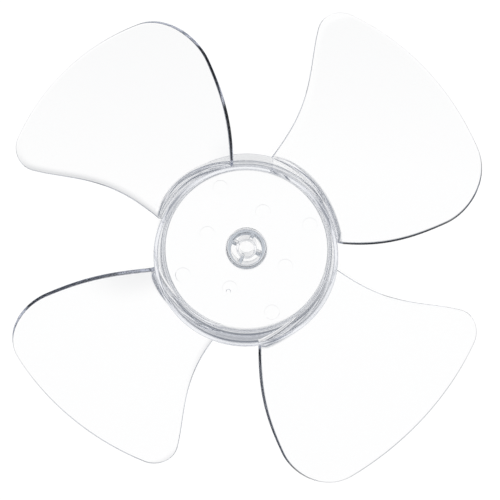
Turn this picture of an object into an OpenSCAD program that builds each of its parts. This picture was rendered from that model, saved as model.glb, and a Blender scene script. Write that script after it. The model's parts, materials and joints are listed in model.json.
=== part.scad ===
// Four-blade axial fan wheel, moulded in one piece of clear plastic.
// The shaft axis is Z. Z is 0 at the front end of the shaft tube, and +Z points out of the open front.

/* [Hub] */
// Outer diameter of the hub ring
hub_d = 55.2; // [46:0.1:66]
// Height of the front rim above the front end of the shaft tube
front_h = 11.4; // [9:0.1:16]
// Depth of the back rim below the front end of the shaft tube
back_h = 9.2; // [8:0.1:14]
// Wall of the hub ring at its two rims
rim_t = 1.2; // [0.9:0.05:2]
// How much thicker the ring is beside the web than at its rims
ring_draft = 1.2; // [0:0.1:2]

/* [Web] */
// Thickness of the web that closes the ring
web_t = 2; // [1.2:0.1:3]
// Height of the web's front face above the front end of the shaft tube
web_z = 1.7; // [0.4:0.1:3]
// Fillet between the web and the ring
web_fillet = 1.1; // [0.4:0.1:2]

/* [Shaft boss] */
// Diameter of the shaft bore
bore_d = 4.76; // [3:0.01:6.4]
// Wall of the shaft tube
tube_t = 0.7; // [0.5:0.05:1.5]
// Length of the shaft tube
tube_l = 7.2; // [6:0.1:8]
// Outer diameter of the collar round the shaft tube
collar_d = 11.8; // [11:0.1:16]
// Wall of the collar
collar_t = 1.25; // [0.8:0.05:2]
// Length of the collar behind the web
collar_l = 4.4; // [2:0.1:7]
// Fillet at the foot of the collar
collar_fillet = 0.6; // [0.3:0.1:1.5]
// Ribs between the shaft tube and the collar
rib_n = 4; // [2:1:6]
// Thickness of one rib
rib_t = 1; // [0.6:0.1:1.6]
// Direction of the first rib
rib_angle = 65.5; // [0:0.5:90]

/* [Blade outline] */
// Number of blades
blade_n = 4; // [3:1:5]
// Diameter across the blade tips
tip_d = 152.4; // [130:0.1:180]
// Direction of the first blade's middle
blade_angle = 130; // [90:1:180]
// Leading edge, angle ahead of the blade's middle at the hub
lead_a_root = 33.9; // [24:0.1:35]
// Leading edge angle one third of the way out
lead_a_inner = 28.3; // [22:0.1:34]
// Leading edge angle two thirds of the way out
lead_a_outer = 30.6; // [22:0.1:34]
// Leading edge angle at the tip circle, before the corner is rounded
lead_a_tip = 31.2; // [22:0.1:34]
// Trailing edge, angle behind the blade's middle at the hub
trail_a_root = 31.5; // [24:0.1:35]
// Trailing edge angle one third of the way out
trail_a_inner = 32.7; // [22:0.1:34]
// Trailing edge angle two thirds of the way out
trail_a_outer = 29.6; // [22:0.1:34]
// Trailing edge angle at the tip circle, before the corner is rounded
trail_a_tip = 26.7; // [22:0.1:34]
// Radius of the outline's corner at the leading edge
lead_corner = 7.5; // [3:0.5:12]
// Radius of the outline's corner at the trailing edge
trail_corner = 15.5; // [6:0.5:22]

/* [Blade surface] */
// How far inside the back rim the leading edge meets the hub
lead_inset = 0.9; // [0.7:0.1:3]
// Depth of the leading edge one third of the way out, below the front end of the shaft tube
lead_z_inner = 11.1; // [8:0.1:14]
// Depth of the leading edge two thirds of the way out
lead_z_outer = 12.5; // [9:0.1:16]
// Depth of the leading edge at the tip
lead_z_tip = 13.6; // [9:0.1:18]
// How far inside the front rim the trailing edge meets the hub
trail_inset = 1.1; // [0.9:0.1:3]
// Height of the trailing edge one third of the way out, above the front end of the shaft tube
trail_z_inner = 14.7; // [9:0.1:18]
// Height of the trailing edge two thirds of the way out
trail_z_outer = 14.5; // [9:0.1:18]
// Height of the trailing edge at the tip
trail_z_tip = 14.1; // [9:0.1:18]
// Camber at the hub: how far the blade's middle sags behind the line between its edges
camber_root = 2.4; // [0:0.1:4]
// Camber at the tip
camber_tip = 5.6; // [0:0.1:8]
// Blade thickness at the leading edge
lead_t = 1.1; // [0.8:0.05:2]
// Blade thickness at the trailing edge
trail_t = 1.5; // [0.8:0.05:2.4]
// Fillet between the blade and the hub ring
root_fillet = 1.9; // [0.5:0.1:3]

/* [Hidden] */

hub_r = hub_d / 2;
tip_r = tip_d / 2;
bore_r = bore_d / 2;
tube_r = bore_r + tube_t;
collar_r = collar_d / 2;
collar_hole_r = collar_r - collar_t;
web_back_z = web_z - web_t;
rim_inner_r = hub_r - rim_t;
web_ring_r = rim_inner_r - ring_draft;
lead_z_root = back_h - lead_inset;
trail_z_root = front_h - trail_inset;

// The blade's foot ends inside the ring, this far below its outer face.
foot_depth = rim_t / 2;
// The stretch below the tip circle in which the two corners of the outline are rounded.
corner_zone = max(lead_corner, trail_corner);
// Cutting shapes pass this far beyond the faces that they cut.
past = 1;
// The smallest room that a fillet or a rounded edge is given.
least = 0.02;
// Steps of the blade's mesh: across the middle of the chord, along the middle of the span,
// and the places where the rounded edges, the root fillet and the tip corners are followed closely.
chord_steps = 16;
span_steps = 7;
edge_steps = [0, 0.12, 0.4, 0.9];
root_steps = [0.1, 0.3, 0.65, 1.15];
tip_steps = [0.72, 0.48, 0.3, 0.17, 0.085, 0.03, 0];
smooth = 96;
// The root fillet ends at this radius, and the blade's own surface goes on from there.
fillet_end_r = hub_r + root_steps[len(root_steps) - 1] * root_fillet;
clear_plastic = [0.86, 0.89, 0.93, 0.5];

// Value between a and b at t, with t from 0 to 1
function between(a, b, t) = a + (b - a) * t;

// Smooth curve through four values, at the hub, one third out, two thirds out and at the tip
function along_span(root, inner, outer, tip, u) =
    let (x = 3 * u)
    - root * (x - 1) * (x - 2) * (x - 3) / 6
    + inner * x * (x - 2) * (x - 3) / 2
    - outer * x * (x - 1) * (x - 3) / 2
    + tip * x * (x - 1) * (x - 2) / 6;

// Place along the span of a radius, 0 at the hub and 1 at the tip circle
function span_of(r) = (r - hub_r) / (tip_r - hub_r);

// Angles of the two edges from the blade's middle, where the corners aren't rounded yet
function lead_a(r) = along_span(lead_a_root, lead_a_inner, lead_a_outer, lead_a_tip, span_of(r));
function trail_a(r) = -along_span(trail_a_root, trail_a_inner, trail_a_outer, trail_a_tip, span_of(r));

// Heights of the two edges
function lead_z(r) = -along_span(lead_z_root, lead_z_inner, lead_z_outer, lead_z_tip, span_of(r));
function trail_z(r) = along_span(trail_z_root, trail_z_inner, trail_z_outer, trail_z_tip, span_of(r));

// Place across the chord of an angle, 0 at the leading edge and 1 at the trailing edge
function chord_of(r, a) = (lead_a(r) - a) / (lead_a(r) - trail_a(r));

// Middle surface of the blade: a twisted sheet that is hollow towards the front
function middle_z(r, a) =
    let (s = chord_of(r, a))
    between(lead_z(r), trail_z(r), s)
    - between(camber_root, camber_tip, span_of(r)) * sin(180 * s);
function middle(r, a) = [r * cos(a), r * sin(a), middle_z(r, a)];

// Unit normal of the middle surface, on its front side
function normal(r, a) =
    let (
        step = 0.05,
        outward = middle(r + step, a) - middle(r - step, a),
        around = middle(r, a + step) - middle(r, a - step),
        n = cross(outward, around)
    )
    n / norm(n);

// Length along the tip circle that the rounding of a corner takes off at a radius
function corner_cut(r, corner) =
    let (y = tip_r - r)
    y < corner ? corner - sqrt(corner * corner - pow(corner - y, 2)) : 0;

// Distance from a point inside the outline to an edge and the tip, with the corner between them rounded
function corner_gap(x, y, corner) =
    x < corner && y < corner ? corner - norm([corner - x, corner - y]) : min(x, y);

function arc_length(r, angle) = r * angle * PI / 180;
function arc_angle(r, length) = length * 180 / (r * PI);

// Distance from a point of the blade to its rounded outline
function outline_gap(r, a) = min(
    corner_gap(arc_length(r, lead_a(r) - a), tip_r - r, lead_corner),
    corner_gap(arc_length(r, a - trail_a(r)), tip_r - r, trail_corner)
);

// Half of the blade's thickness, round at the edges
function half_t(r, a) =
    let (
        full = between(lead_t, trail_t, chord_of(r, a)) / 2,
        d = min(max(outline_gap(r, a), 0), full)
    )
    sqrt(full * full - pow(full - d, 2));

// Height that the root fillet adds at a radius, where the wall leaves it some room
function fillet_h(r, room) =
    let (
        f = min(root_fillet, max(room, least)),
        d = min(max(r - hub_r, 0), f)
    )
    f - sqrt(f * f - pow(f - d, 2));

// Point on the blade's front face (side 1) or back face (side -1)
function face_point(r, a, side) =
    let (
        bare = middle(r, a) + side * half_t(r, a) * normal(r, a),
        at_hub = middle(hub_r, a)[2] + side * half_t(hub_r, a),
        room = side > 0 ? front_h - at_hub : at_hub + back_h
    )
    bare + [0, 0, side * fillet_h(r, room) * min(1, half_t(r, a) / (lead_t / 2))];

// Radii of the mesh's rows, from the foot inside the ring out to the tip
mesh_radii = concat(
    [hub_r - foot_depth],
    [for (k = root_steps) hub_r + k * root_fillet],
    [for (i = [1:span_steps]) between(fillet_end_r, tip_r - corner_zone, i / span_steps)],
    [for (k = tip_steps) tip_r - k * corner_zone]
);

// Angles of the mesh's points in one row, from the leading edge to the trailing edge
function row_angles(r) =
    let (
        first = lead_a(r) - arc_angle(r, corner_cut(r, lead_corner)),
        last = trail_a(r) + arc_angle(r, corner_cut(r, trail_corner)),
        width = arc_length(r, first - last),
        inner = edge_steps[len(edge_steps) - 1],
        places = concat(
            [for (e = edge_steps) e],
            [for (i = [1:chord_steps - 1]) between(inner, width - inner, i / chord_steps)],
            [for (i = [len(edge_steps) - 1:-1:0]) width - edge_steps[i]]
        )
    )
    [for (p = places) first - arc_angle(r, p)];

// One ring of points round the blade's section: the front face back to the leading edge, then the back face
function section(r) =
    let (angles = row_angles(r), last = len(angles) - 1)
    concat(
        [for (i = [0:last]) face_point(r, angles[i], 1)],
        [for (i = [last - 1:-1:1]) face_point(r, angles[i], -1)]
    );

// One blade, along the +X direction, with its foot inside the ring
module blade() {
    rings = [for (r = mesh_radii) section(r)];
    n = len(rings[0]);
    rows = len(rings);
    half = n / 2;
    side_faces = [
        for (k = [0:rows - 2], i = [0:n - 1])
            let (j = (i + 1) % n)
            each [
                [k * n + i, (k + 1) * n + i, (k + 1) * n + j],
                [k * n + i, (k + 1) * n + j, k * n + j]
            ]
    ];
    foot_faces = [
        for (i = [0:half - 1])
            let (j = (n - i) % n)
            each (
                i == 0 ? [[0, 1, n - 1]]
                : i == half - 1 ? [[i, half, half + 1]]
                : [[i, i + 1, j - 1], [i, j - 1, j]]
            )
    ];
    polyhedron([for (ring = rings) each ring], concat(side_faces, foot_faces), convexity = 6);
}

// Room inside the ring on one side of the web: tapered, with a fillet at the web.
// The outline is drawn with the web's face at 0 and the rim at the height h.
module ring_room(h) {
    slope = atan(ring_draft / h);
    fillet_r = web_ring_r + web_fillet * tan(slope) - web_fillet / cos(slope);
    polygon([
        [0, 0],
        [fillet_r, 0],
        [fillet_r + web_fillet * cos(slope), web_fillet * (1 - sin(slope))],
        [rim_inner_r, h],
        [rim_inner_r, h + past],
        [0, h + past]
    ]);
    translate([fillet_r, web_fillet]) circle(web_fillet, $fn = smooth);
}

// The collar's own section, behind the web, with the fillet at its foot
module collar_section() {
    translate([collar_hole_r, web_back_z - collar_l]) square([collar_t, collar_l + web_t / 2]);
    difference() {
        translate([collar_r - collar_t / 2, web_back_z - collar_fillet])
            square([collar_t / 2 + collar_fillet, collar_fillet + web_t / 2]);
        translate([collar_r + collar_fillet, web_back_z - collar_fillet])
            circle(collar_fillet, $fn = smooth);
    }
}

// Ring, web and collar, turned about the shaft axis
module ring() {
    rotate_extrude($fn = smooth) {
        difference() {
            translate([collar_hole_r, -back_h]) square([hub_r - collar_hole_r, back_h + front_h]);
            translate([0, web_z]) ring_room(front_h - web_z);
            translate([0, web_back_z]) mirror([0, 1]) ring_room(back_h + web_back_z);
        }
        collar_section();
    }
}

// Tube that takes the shaft, behind the web's front face
module shaft_tube() {
    difference() {
        translate([0, 0, -tube_l]) cylinder(r = tube_r, h = tube_l, $fn = smooth);
        translate([0, 0, -tube_l - past]) cylinder(r = bore_r, h = tube_l + 2 * past, $fn = smooth);
    }
}

// Ribs that carry the shaft tube inside the collar
module ribs() {
    inner_r = bore_r + tube_t / 2;
    outer_r = collar_hole_r + collar_t / 2;
    rib_bottom = max(web_back_z - collar_l, -tube_l);
    for (i = [0:rib_n - 1])
        rotate([0, 0, rib_angle + i * 360 / rib_n])
            translate([inner_r, -rib_t / 2, rib_bottom])
                cube([outer_r - inner_r, rib_t, -rib_bottom]);
}

module fan_blade() {
    color(clear_plastic)
        union() {
            ring();
            shaft_tube();
            ribs();
            for (i = [0:blade_n - 1])
                rotate([0, 0, blade_angle + i * 360 / blade_n]) blade();
        }
}

fan_blade();
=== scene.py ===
"""Clear fan wheel on a pale floor: one moulding, modelled in millimetres and then brought to metres."""
import json
import math

import bmesh
import bpy
from mathutils import Matrix, Vector


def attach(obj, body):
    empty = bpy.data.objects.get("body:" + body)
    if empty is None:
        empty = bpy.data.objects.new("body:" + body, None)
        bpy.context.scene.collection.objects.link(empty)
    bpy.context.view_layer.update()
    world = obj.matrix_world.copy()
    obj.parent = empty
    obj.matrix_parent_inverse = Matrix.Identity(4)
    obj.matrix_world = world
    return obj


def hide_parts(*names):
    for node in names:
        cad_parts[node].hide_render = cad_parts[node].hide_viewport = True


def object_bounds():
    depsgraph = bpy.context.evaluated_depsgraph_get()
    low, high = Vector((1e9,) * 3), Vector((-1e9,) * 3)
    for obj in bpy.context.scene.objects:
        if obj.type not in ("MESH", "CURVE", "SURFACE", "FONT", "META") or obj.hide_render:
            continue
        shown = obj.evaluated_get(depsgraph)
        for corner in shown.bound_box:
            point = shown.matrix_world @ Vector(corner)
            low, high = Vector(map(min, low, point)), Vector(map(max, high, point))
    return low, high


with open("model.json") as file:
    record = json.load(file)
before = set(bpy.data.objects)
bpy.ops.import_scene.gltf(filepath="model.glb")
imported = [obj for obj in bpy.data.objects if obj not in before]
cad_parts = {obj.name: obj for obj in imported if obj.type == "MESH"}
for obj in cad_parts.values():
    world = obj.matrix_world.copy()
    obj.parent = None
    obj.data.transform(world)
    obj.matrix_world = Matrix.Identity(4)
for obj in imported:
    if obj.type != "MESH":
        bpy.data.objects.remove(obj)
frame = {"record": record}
cad_low, cad_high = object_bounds()

MM = 0.001

# Hub ring, from the shaft axis, with Z 0 at the front end of the shaft tube
HUB_R = 27.6
FRONT_Z = 11.4
BACK_Z = -9.2
RIM_T = 1.2
RING_DRAFT = 1.2
RIM_ROUND = 0.3

# Web that closes the ring
WEB_FRONT_Z = 1.7
WEB_BACK_Z = -0.3
WEB_FILLET = 1.1
HOLE_ROUND = 0.15

# Collar, shaft tube and the ribs between them
BORE = frame["record"]["mounts"][0]["dims"]
BORE_R = BORE["r_mm"]
TUBE_L = BORE["length_mm"]
TUBE_T = 0.7
TUBE_ROUND = 0.15
COLLAR_R = 5.9
COLLAR_T = 1.25
COLLAR_BACK_Z = -4.7
COLLAR_FILLET = 0.6
COLLAR_ROUND = 0.3
RIB_N = 4
RIB_T = 1.0
RIB_ANGLE = 65.5
RIB_ROUND = 0.15
RIB_SHORT = 0.03

# Blades: angles ahead of and behind the middle, and heights of the two edges, at the hub, one third out,
# two thirds out and at the tip
BLADE_N = 4
BLADE_ANGLE = 130
TIP_R = 76.2
LEAD_A = (33.9, 28.3, 30.6, 31.2)
TRAIL_A = (-31.5, -32.7, -29.6, -26.7)
LEAD_Z = (-8.3, -11.1, -12.5, -13.6)
TRAIL_Z = (10.3, 14.7, 14.5, 14.1)
LEAD_CORNER = 7.5
TRAIL_CORNER = 15.5
CAMBER_ROOT = 2.4
CAMBER_TIP = 5.6
LEAD_T = 1.1
TRAIL_T = 1.5
ROOT_FILLET = 1.9
FOOT_DEPTH = 0.6
FOOT_MARGIN = 0.05
LEAST_FILLET = 0.02
EDGE_ROUND = 0.25
NOSE_W = 2.2
NOSE_DROP = 0.65

# Marks that the mould leaves on the web's front: ejector pins on two circles, and the gate's stub
PIN_R = 2.3
PIN_DEPTH = 0.07
PIN_SLOPE = 0.1
PIN_CIRCLES = ((20.6, 22), (12.75, 67))
GATE_R = 0.75
GATE_TOP_R = 0.6
GATE_H = 0.35
GATE_FOOT = 0.2
GATE_PLACE = (13.8, -113)

# Fineness of the meshes
RING_STEPS = 192
ARC_STEPS = 6
CHORD_CELLS = 60
SPAN_CELLS = 52
CROWDING = 0.8
ROOT_SHARE = 0.25
EDGE_STEPS = 3
PIN_STEPS = 64
MERGE = 0.001
SHARP_RIM = math.radians(60)
SMOOTH_BELOW = math.radians(35)

# Camera, from the photograph's frame
IMAGE_PX = 500
WHEEL_CENTRE_PX = (246.4, 249.0)
PX_PER_MM = 3.319
CAMERA_DISTANCE = 1298.7
CAMERA_TILT = math.radians(11.68)
CAMERA_TURN = math.radians(-0.814)
SENSOR_MM = 36

# Clear plastic, and where its rough patch, greyed with painted shade, fades: above the collar's end,
# outside the tube, inside the collar
PLASTIC_TINT = (0.62, 0.66, 0.78, 1)
PLASTIC_DENSITY = 14
PLASTIC_IOR = 1.57
POLISH = 0.01
POLISH_SPREAD = 0.02
CLOUD_SCALE = 90
CLOUD_DETAIL = 3
MATT = 0.8
# Painted shade: grey base colour that darkens the collar's back end
PAINTED_SHADE_GREY = (0.58, 0.63, 0.69, 1)
MATT_DEPTH = (0.1, 0.4)
MATT_FROM_TUBE = (0, 0.2)
MATT_TO_COLLAR = (-0.35, -0.15)

# Floor, and the studio's brightness by the direction of a ray
FLOOR_SIZE = 40
FLOOR_GAP = 0.0005
SURROUND = (0.19, 0.21, 0.25, 1)
FAR_FADE = (-0.19, 0.58)
SIDE_FADE = (0.3, 0.6)
NEAR_FADE = (0.64, 0.9)
CEILING_FADE = (-0.05, 0.12)
TWO_FACES_DEPTH = 3
DEPTH_MARGIN = 0.5
BESIDE_FADE = (-0.75, -0.5)
FLOOR_GLOW = 0.9
FLOOR_PALE = 0.17
BOUNCES = 40


def between(a, b, t):
    """Value between a and b at t, with t from 0 to 1."""
    return a + (b - a) * t


def along_span(values, u):
    """Smooth curve through four values, at the hub, one third out, two thirds out and at the tip."""
    root, inner, outer, tip = values
    x = 3 * u
    return (
        -root * (x - 1) * (x - 2) * (x - 3) / 6
        + inner * x * (x - 2) * (x - 3) / 2
        - outer * x * (x - 1) * (x - 3) / 2
        + tip * x * (x - 1) * (x - 2) / 6
    )


def span_of(r):
    return (r - HUB_R) / (TIP_R - HUB_R)


def chord_of(r, angle):
    """Place across the chord, 0 at the leading edge and 1 at the trailing edge."""
    lead, trail = along_span(LEAD_A, span_of(r)), along_span(TRAIL_A, span_of(r))
    return (lead - angle) / (lead - trail)


def middle_z(r, angle):
    """Height of the blade's middle surface, which is hollow towards the front."""
    u, s = span_of(r), chord_of(r, angle)
    straight = between(along_span(LEAD_Z, u), along_span(TRAIL_Z, u), s)
    return straight - between(CAMBER_ROOT, CAMBER_TIP, u) * math.sin(math.pi * s)


def thickness(r, angle):
    return between(LEAD_T, TRAIL_T, chord_of(r, angle))


def edge_place(values, corner, sign, t):
    """Place on a side edge, from the foot at t 0 to the middle of the rounded tip corner at t 1."""
    foot = HUB_R - FOOT_DEPTH
    straight = TIP_R - corner - foot
    arc = corner * math.pi / 4
    root_zone = FOOT_DEPTH + ROOT_FILLET
    if t < ROOT_SHARE:
        r, cut = foot + root_zone * t / ROOT_SHARE, 0
    else:
        length = root_zone + (straight + arc - root_zone) * (t - ROOT_SHARE) / (1 - ROOT_SHARE)
        turn = max(length - straight, 0) / corner
        r = foot + min(length, straight) + corner * math.sin(turn)
        cut = corner * (1 - math.cos(turn))
    return r, along_span(values, span_of(r)) - sign * math.degrees(cut / r)


def tip_place(s):
    """Place on the tip, from the middle of the leading corner at s 0 to the middle of the trailing one."""
    lead = along_span(LEAD_A, 1) - math.degrees(LEAD_CORNER / TIP_R)
    trail = along_span(TRAIL_A, 1) + math.degrees(TRAIL_CORNER / TIP_R)
    lead_arc, trail_arc = LEAD_CORNER * math.pi / 4, TRAIL_CORNER * math.pi / 4
    straight = math.radians(lead - trail) * TIP_R
    length = s * (lead_arc + straight + trail_arc)
    if length < lead_arc:
        corner, turn, values, sign = LEAD_CORNER, (lead_arc - length) / LEAD_CORNER, LEAD_A, 1
    elif length > lead_arc + straight:
        corner, turn = TRAIL_CORNER, (length - lead_arc - straight) / TRAIL_CORNER
        values, sign = TRAIL_A, -1
    else:
        return TIP_R, lead - math.degrees((length - lead_arc) / TIP_R)
    r = TIP_R - corner * (1 - math.cos(turn))
    cut = corner * (1 - math.sin(turn))
    return r, along_span(values, span_of(r)) - sign * math.degrees(cut / r)


def root_place(s):
    return HUB_R - FOOT_DEPTH, between(LEAD_A[0], TRAIL_A[0], s)


def crowded(s):
    """Moves places across the blade towards its two edges."""
    return s - CROWDING * math.sin(2 * math.pi * s) / (2 * math.pi)


def sheet_place(s, t):
    """Radius and angle of a point of the blade: s across from the leading edge, t out from the foot."""
    lead, trail = edge_place(LEAD_A, LEAD_CORNER, 1, t), edge_place(TRAIL_A, TRAIL_CORNER, -1, t)
    root, tip = root_place(s), tip_place(s)
    lead_foot, trail_foot, lead_tip, trail_tip = root_place(0), root_place(1), tip_place(0), tip_place(1)
    u = (lead[0] + (trail[0] - lead[0]) * s - root[0]) / (between(lead_tip[0], trail_tip[0], s) - root[0])
    return tuple(
        between(lead[i], trail[i], s)
        + between(root[i], tip[i], u)
        - between(between(lead_foot[i], trail_foot[i], s), between(lead_tip[i], trail_tip[i], s), u)
        for i in (0, 1)
    )


def rounded(corners):
    """Points of a closed outline of (radius, height, rounding) corners."""
    points = []
    for i, (r, z, rounding) in enumerate(corners):
        here = Vector((r, z))
        if not rounding:
            points.append(here)
            continue
        back = (Vector(corners[i - 1][:2]) - here).normalized()
        ahead = (Vector(corners[(i + 1) % len(corners)][:2]) - here).normalized()
        half = back.angle(ahead) / 2
        centre = here + (back + ahead).normalized() * (rounding / math.sin(half))
        first = here + back * (rounding / math.tan(half)) - centre
        turn = first.angle_signed(here + ahead * (rounding / math.tan(half)) - centre)
        for k in range(ARC_STEPS + 1):
            points.append(centre + Matrix.Rotation(-turn * k / ARC_STEPS, 2) @ first)
    return points


def deselect():
    for piece in bpy.context.selected_objects:
        piece.select_set(False)


def activate(piece):
    deselect()
    piece.select_set(True)
    bpy.context.view_layer.objects.active = piece


def finish_with(piece, kind, **settings):
    """Adds a modifier and applies it."""
    activate(piece)
    modifier = piece.modifiers.new(kind.lower(), kind)
    for name, value in settings.items():
        setattr(modifier, name, value)
    bpy.ops.object.modifier_apply(modifier=modifier.name)


def add(piece, other, operation="UNION"):
    """Joins another solid to a piece, or cuts it out, and removes it."""
    finish_with(piece, "BOOLEAN", object=other, operation=operation, solver="MANIFOLD")
    bpy.data.objects.remove(other)


def turned(name, corners):
    """Solid turned about the shaft axis from its outline."""
    points = rounded(corners)
    deselect()
    bpy.ops.mesh.primitive_circle_add(vertices=len(points), fill_type="NOTHING")
    piece = bpy.context.object
    piece.name = name
    for vertex, (r, z) in zip(piece.data.vertices, points):
        vertex.co = (r, 0, z)
    bpy.ops.object.mode_set(mode="EDIT")
    bpy.ops.mesh.select_all(action="SELECT")
    bpy.ops.mesh.spin(steps=RING_STEPS, angle=2 * math.pi, center=(0, 0, 0), axis=(0, 0, 1))
    bpy.ops.mesh.select_all(action="SELECT")
    bpy.ops.mesh.remove_doubles(threshold=MERGE)
    bpy.ops.mesh.normals_make_consistent(inside=False)
    bpy.ops.object.mode_set(mode="OBJECT")
    return piece


def ring():
    rim_r = HUB_R - RIM_T
    web_r = rim_r - RING_DRAFT
    hole_r = COLLAR_R - COLLAR_T
    return turned("fan_wheel", [
        (HUB_R, BACK_Z, RIM_ROUND),
        (HUB_R, FRONT_Z, RIM_ROUND),
        (rim_r, FRONT_Z, RIM_ROUND),
        (web_r, WEB_FRONT_Z, WEB_FILLET),
        (hole_r, WEB_FRONT_Z, HOLE_ROUND),
        (hole_r, COLLAR_BACK_Z, COLLAR_ROUND),
        (COLLAR_R, COLLAR_BACK_Z, COLLAR_ROUND),
        (COLLAR_R, WEB_BACK_Z, COLLAR_FILLET),
        (web_r, WEB_BACK_Z, WEB_FILLET),
        (rim_r, BACK_Z, RIM_ROUND),
    ])


def shaft_tube():
    return turned("shaft_tube", [
        (BORE_R, -TUBE_L, TUBE_ROUND),
        (BORE_R + TUBE_T, -TUBE_L, TUBE_ROUND),
        (BORE_R + TUBE_T, 0, TUBE_ROUND),
        (BORE_R, 0, TUBE_ROUND),
    ])


def rib(angle):
    inner, outer = BORE_R + TUBE_T / 2, COLLAR_R - COLLAR_T / 2
    top, bottom = -RIB_SHORT, COLLAR_BACK_Z + RIB_SHORT
    deselect()
    bpy.ops.mesh.primitive_cube_add(size=1)
    piece = bpy.context.object
    place = Matrix.Rotation(math.radians(angle), 4, "Z") @ Matrix.Translation(
        ((inner + outer) / 2, 0, (top + bottom) / 2)
    )
    piece.data.transform(place @ Matrix.Diagonal((outer - inner, RIB_T, top - bottom, 1)))
    finish_with(piece, "BEVEL", width=RIB_ROUND, segments=2)
    return piece


def tapered_disc(name, radius, end_radius, low, high, place):
    """Disc with a sloping side, at a radius and angle on the web."""
    deselect()
    bpy.ops.mesh.primitive_cone_add(
        vertices=PIN_STEPS, radius1=end_radius, radius2=radius, depth=high - low, end_fill_type="NGON"
    )
    piece = bpy.context.object
    piece.name = name
    r, angle = place[0], math.radians(place[1])
    piece.data.transform(Matrix.Translation((r * math.cos(angle), r * math.sin(angle), (low + high) / 2)))
    return piece


def round_edges(piece):
    """Rounds the rim of the thickened sheet, all but its foot inside the ring."""
    bpy.ops.object.mode_set(mode="EDIT")
    mesh = bmesh.from_edit_mesh(piece.data)
    foot = HUB_R - FOOT_DEPTH + FOOT_MARGIN
    for edge in mesh.edges:
        outside = any(vertex.co.to_2d().length > foot for vertex in edge.verts)
        edge.select_set(outside and edge.calc_face_angle(0) > SHARP_RIM)
    bmesh.update_edit_mesh(piece.data)
    bpy.ops.mesh.bevel(offset=EDGE_ROUND, segments=EDGE_STEPS, profile=0.5, clamp_overlap=False)
    bpy.ops.object.mode_set(mode="OBJECT")


def raise_fillet(piece):
    """Lifts both faces towards the hub ring in a fillet, where its wall leaves them room."""
    for vertex in piece.data.vertices:
        r = vertex.co.to_2d().length
        if r >= HUB_R + ROOT_FILLET:
            continue
        angle = math.degrees(math.atan2(vertex.co.y, vertex.co.x))
        half = thickness(HUB_R, angle) / 2
        side = max(-1, min(1, (vertex.co.z - middle_z(r, angle)) / half))
        at_hub = middle_z(HUB_R, angle)
        room = FRONT_Z - RIM_ROUND - at_hub - half if side > 0 else at_hub - half - BACK_Z - RIM_ROUND
        fillet = min(ROOT_FILLET, max(room, LEAST_FILLET))
        d = max(0, min(fillet, r - HUB_R))
        vertex.co.z += side * (fillet - math.sqrt(fillet ** 2 - (fillet - d) ** 2))


def thin_nose(piece):
    """Lowers the front face towards the leading edge, and less and less round its corner."""
    for vertex in piece.data.vertices:
        r = vertex.co.to_2d().length
        angle = math.degrees(math.atan2(vertex.co.y, vertex.co.x))
        inset, weight = math.radians(along_span(LEAD_A, span_of(r)) - angle) * r, 1
        if inset < LEAD_CORNER and TIP_R - r < LEAD_CORNER:
            beside, above = LEAD_CORNER - inset, LEAD_CORNER - (TIP_R - r)
            reach = math.hypot(beside, above)
            inset, weight = LEAD_CORNER - reach, max(beside, 0) / max(reach, MERGE)
        if inset < NOSE_W:
            half = thickness(r, angle) / 2
            side = max(-1, min(1, (vertex.co.z - middle_z(r, angle)) / half))
            drop = NOSE_DROP * weight * (1 - max(inset, 0) / NOSE_W) ** 2
            vertex.co.z -= drop * (side + 1) / 2


def blade(angle):
    """One blade: a sheet bent to the twisted surface, thickened, rounded and given its root fillet."""
    deselect()
    bpy.ops.mesh.primitive_grid_add(x_subdivisions=CHORD_CELLS, y_subdivisions=SPAN_CELLS, size=2)
    piece = bpy.context.object
    group = piece.vertex_groups.new(name="thickness")
    for vertex in piece.data.vertices:
        r, a = sheet_place(crowded((1 - vertex.co.x) / 2), (1 + vertex.co.y) / 2)
        vertex.co = (r * math.cos(math.radians(a)), r * math.sin(math.radians(a)), middle_z(r, a))
        group.add([vertex.index], thickness(r, a) / TRAIL_T, "REPLACE")
    finish_with(
        piece, "SOLIDIFY", thickness=TRAIL_T, offset=0, vertex_group="thickness", use_even_offset=True,
        use_quality_normals=True,
    )
    round_edges(piece)
    thin_nose(piece)
    raise_fillet(piece)
    piece.data.transform(Matrix.Rotation(math.radians(angle), 4, "Z"))
    return piece


def mark_web(wheel):
    """Presses the ejector pins' marks into the web and adds the gate's stub."""
    floor_z, top_z = WEB_FRONT_Z - PIN_DEPTH, WEB_FRONT_Z + PIN_DEPTH
    for r, first in PIN_CIRCLES:
        for i in range(BLADE_N):
            place = (r, first + i * 360 / BLADE_N)
            pin = tapered_disc("ejector_mark", PIN_R + PIN_SLOPE, PIN_R - PIN_SLOPE, floor_z, top_z, place)
            add(wheel, pin, "DIFFERENCE")
    foot_z, stub_z = WEB_FRONT_Z - GATE_FOOT, WEB_FRONT_Z + GATE_H
    add(wheel, tapered_disc("gate_stub", GATE_TOP_R, GATE_R, foot_z, stub_z, GATE_PLACE))


def fan_wheel():
    """The whole moulding, in metres."""
    wheel = ring()
    add(wheel, shaft_tube())
    for i in range(RIB_N):
        add(wheel, rib(RIB_ANGLE + i * 360 / RIB_N))
    for i in range(BLADE_N):
        add(wheel, blade(BLADE_ANGLE + i * 360 / BLADE_N))
    mark_web(wheel)
    wheel.data.transform(Matrix.Scale(MM, 4))
    activate(wheel)
    bpy.ops.object.shade_smooth_by_angle(angle=SMOOTH_BELOW)
    finish_with(wheel, "WEIGHTED_NORMAL", keep_sharp=True, weight=50)
    return wheel


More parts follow.
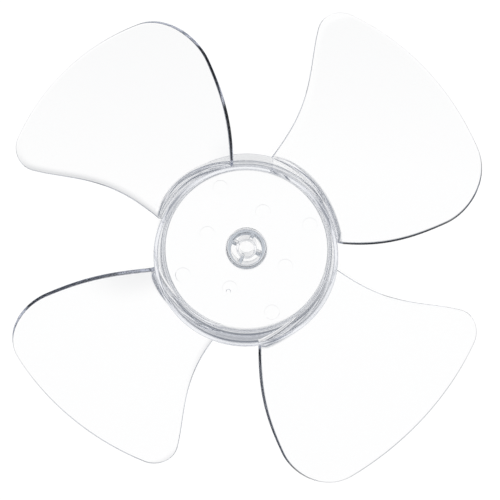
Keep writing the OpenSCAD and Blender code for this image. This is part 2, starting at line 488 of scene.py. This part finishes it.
class Value:
    """An output socket, with arithmetic that adds Math nodes."""

    def __init__(self, tree, socket):
        self.tree = tree
        self.socket = socket

    def maths(self, operation, first, second):
        return self.tree.node("ShaderNodeMath", {"operation": operation}, {0: first, 1: second})

    def __add__(self, other):
        return self.maths("ADD", self, other)

    def __sub__(self, other):
        return self.maths("SUBTRACT", self, other)

    def __rsub__(self, other):
        return self.maths("SUBTRACT", other, self)

    def __mul__(self, other):
        return self.maths("MULTIPLY", self, other)

    def larger(self, other):
        return self.maths("MAXIMUM", self, other)

    __radd__ = __add__
    __rmul__ = __mul__


class Tree:
    """The emptied node tree of a material or world."""

    def __init__(self, owner):
        owner.use_nodes = True
        self.nodes = owner.node_tree.nodes
        self.links = owner.node_tree.links
        self.nodes.clear()

    def node(self, kind, settings, inputs, output=0):
        """Adds a node, sets it, fills or links its inputs, and gives one of its outputs."""
        made = self.nodes.new(kind)
        for name, value in settings.items():
            setattr(made, name, value)
        for name, value in inputs.items():
            if isinstance(value, Value):
                self.links.new(value.socket, made.inputs[name])
            else:
                made.inputs[name].default_value = value
        return Value(self, made.outputs[output]) if made.outputs else None

    def colours(self, mask, low, high):
        """Mixes two colours by a mask."""
        return self.node("ShaderNodeMix", {"data_type": "RGBA"}, {0: mask, 6: low, 7: high}, 2)

    def ramp(self, value, low, high):
        """Smooth step from 0 to 1 as a value goes from low to high."""
        return self.node(
            "ShaderNodeMapRange",
            {"interpolation_type": "SMOOTHSTEP"},
            {"Value": value, "From Min": low, "From Max": high},
        )


def clear_plastic():
    """Polished clear plastic, made matt and greyed with painted shade on the back ends of the collar and
    its ribs, and a little uneven.
    """
    material = bpy.data.materials.new("clear_plastic")
    tree = Tree(material)
    place = tree.node("ShaderNodeTexCoord", {}, {}, "Object")
    x, y, z = (tree.node("ShaderNodeSeparateXYZ", {}, {"Vector": place}, axis) for axis in "XYZ")
    spread = tree.node("ShaderNodeMath", {"operation": "SQRT"}, {0: x * x + y * y})

    def fade(value, edge, widths):
        return tree.ramp(value, (edge + widths[0]) * MM, (edge + widths[1]) * MM)

    behind = 1 - fade(z, COLLAR_BACK_Z, MATT_DEPTH)
    beyond_tube = fade(spread, BORE_R + TUBE_T, MATT_FROM_TUBE)
    within_collar = 1 - fade(spread, COLLAR_R, MATT_TO_COLLAR)
    clouds = {"Vector": place, "Scale": CLOUD_SCALE, "Detail": CLOUD_DETAIL}
    cloudy = tree.node("ShaderNodeTexNoise", {}, clouds)
    matt_and_painted_shade = behind * beyond_tube * within_collar
    # On the collar's back end the grey base colour is painted shade, and the same patch is also made rough
    surface = tree.node("ShaderNodeBsdfPrincipled", {}, {
        "Base Color": tree.colours(matt_and_painted_shade, (1, 1, 1, 1), PAINTED_SHADE_GREY),
        "Roughness": POLISH + cloudy * POLISH_SPREAD + matt_and_painted_shade * MATT,
        "IOR": PLASTIC_IOR,
        "Transmission Weight": 1,
    })
    absorbed = {"Color": PLASTIC_TINT, "Density": PLASTIC_DENSITY}
    inside = tree.node("ShaderNodeVolumeAbsorption", {}, absorbed)
    tree.node("ShaderNodeOutputMaterial", {}, {"Surface": surface, "Volume": inside})
    return material


def camera():
    data = bpy.data.cameras.new("camera")
    piece = bpy.data.objects.new("camera", data)
    bpy.context.scene.collection.objects.link(piece)
    data.sensor_width = SENSOR_MM
    data.lens = PX_PER_MM * CAMERA_DISTANCE / IMAGE_PX * SENSOR_MM
    data.clip_end = 100
    turn = (Matrix.Rotation(CAMERA_TILT, 4, "X") @ Matrix.Rotation(CAMERA_TURN, 4, "Y")).transposed()
    half = IMAGE_PX / 2
    across = (WHEEL_CENTRE_PX[0] - half) / PX_PER_MM
    up = -(WHEEL_CENTRE_PX[1] - half) / PX_PER_MM
    place = turn @ Matrix.Translation((-across, -up, CAMERA_DISTANCE))
    place.translation *= MM
    piece.matrix_world = place
    bpy.context.scene.camera = piece


def floor():
    """Pale floor that only the camera sees, from above, with the part's soft shadow on it."""
    deselect()
    bpy.ops.mesh.primitive_plane_add(size=FLOOR_SIZE)
    piece = bpy.context.object
    piece.name = "floor"
    piece.data.transform(Matrix.Translation((0, 0, cad_low.z - FLOOR_GAP)))
    material = bpy.data.materials.new("floor")
    tree = Tree(material)
    seen = tree.node("ShaderNodeLightPath", {}, {}, "Is Camera Ray")
    below = tree.node("ShaderNodeNewGeometry", {}, {}, "Backfacing")
    glow = tree.node("ShaderNodeEmission", {}, {"Strength": FLOOR_GLOW})
    pale = tree.node("ShaderNodeBsdfDiffuse", {}, {"Color": (FLOOR_PALE, FLOOR_PALE, FLOOR_PALE, 1)})
    lit = tree.node("ShaderNodeAddShader", {}, {0: glow, 1: pale})
    clear = tree.node("ShaderNodeBsdfTransparent", {}, {})
    shown = tree.node("ShaderNodeMixShader", {}, {0: seen * (1 - below), 1: clear, 2: lit})
    tree.node("ShaderNodeOutputMaterial", {}, {"Surface": shown})
    piece.data.materials.append(material)


def studio():
    """White above and straight below the part, and grey round it, for the plastic to bend and mirror.

    A ray that only passed through the two faces of one wall also finds white beside the part.
    """
    world = bpy.data.worlds.new("studio")
    bpy.context.scene.world = world
    tree = Tree(world)
    ray = tree.node("ShaderNodeTexCoord", {}, {}, "Generated")
    x, y, z = (tree.node("ShaderNodeSeparateXYZ", {}, {"Vector": ray}, axis) for axis in "XYZ")
    aside = tree.node("ShaderNodeMath", {"operation": "ABSOLUTE"}, {0: x})
    fading = {"Value": y, "From Min": FAR_FADE[0], "From Max": FAR_FADE[1]}
    far = tree.node("ShaderNodeMapRange", {}, fading)
    near = tree.ramp(0 - y, *NEAR_FADE)
    dark = far.larger(tree.ramp(aside, *SIDE_FADE)).larger(near)
    light = (1 - dark).larger(tree.ramp(z, *CEILING_FADE))
    seen = tree.node("ShaderNodeLightPath", {}, {}, "Is Camera Ray")
    depth = tree.node("ShaderNodeLightPath", {}, {}, "Ray Depth")
    compared = {0: depth, 1: TWO_FACES_DEPTH, 2: DEPTH_MARGIN}
    through = tree.node("ShaderNodeMath", {"operation": "COMPARE"}, compared)
    beside = through * tree.ramp(z, *BESIDE_FADE)
    colour = tree.colours(light.larger(seen).larger(beside), SURROUND, (1, 1, 1, 1))
    background = tree.node("ShaderNodeBackground", {}, {"Color": colour})
    tree.node("ShaderNodeOutputWorld", {}, {"Surface": background})


wheel = fan_wheel()
wheel.data.materials.clear()
wheel.data.materials.append(clear_plastic())
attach(wheel, "root")
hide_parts("fan_blade")
camera()
floor()
studio()
bpy.context.scene.view_settings.view_transform = "Standard"
bpy.context.scene.cycles.max_bounces = BOUNCES
bpy.context.scene.cycles.glossy_bounces = BOUNCES
bpy.context.scene.cycles.transmission_bounces = BOUNCES
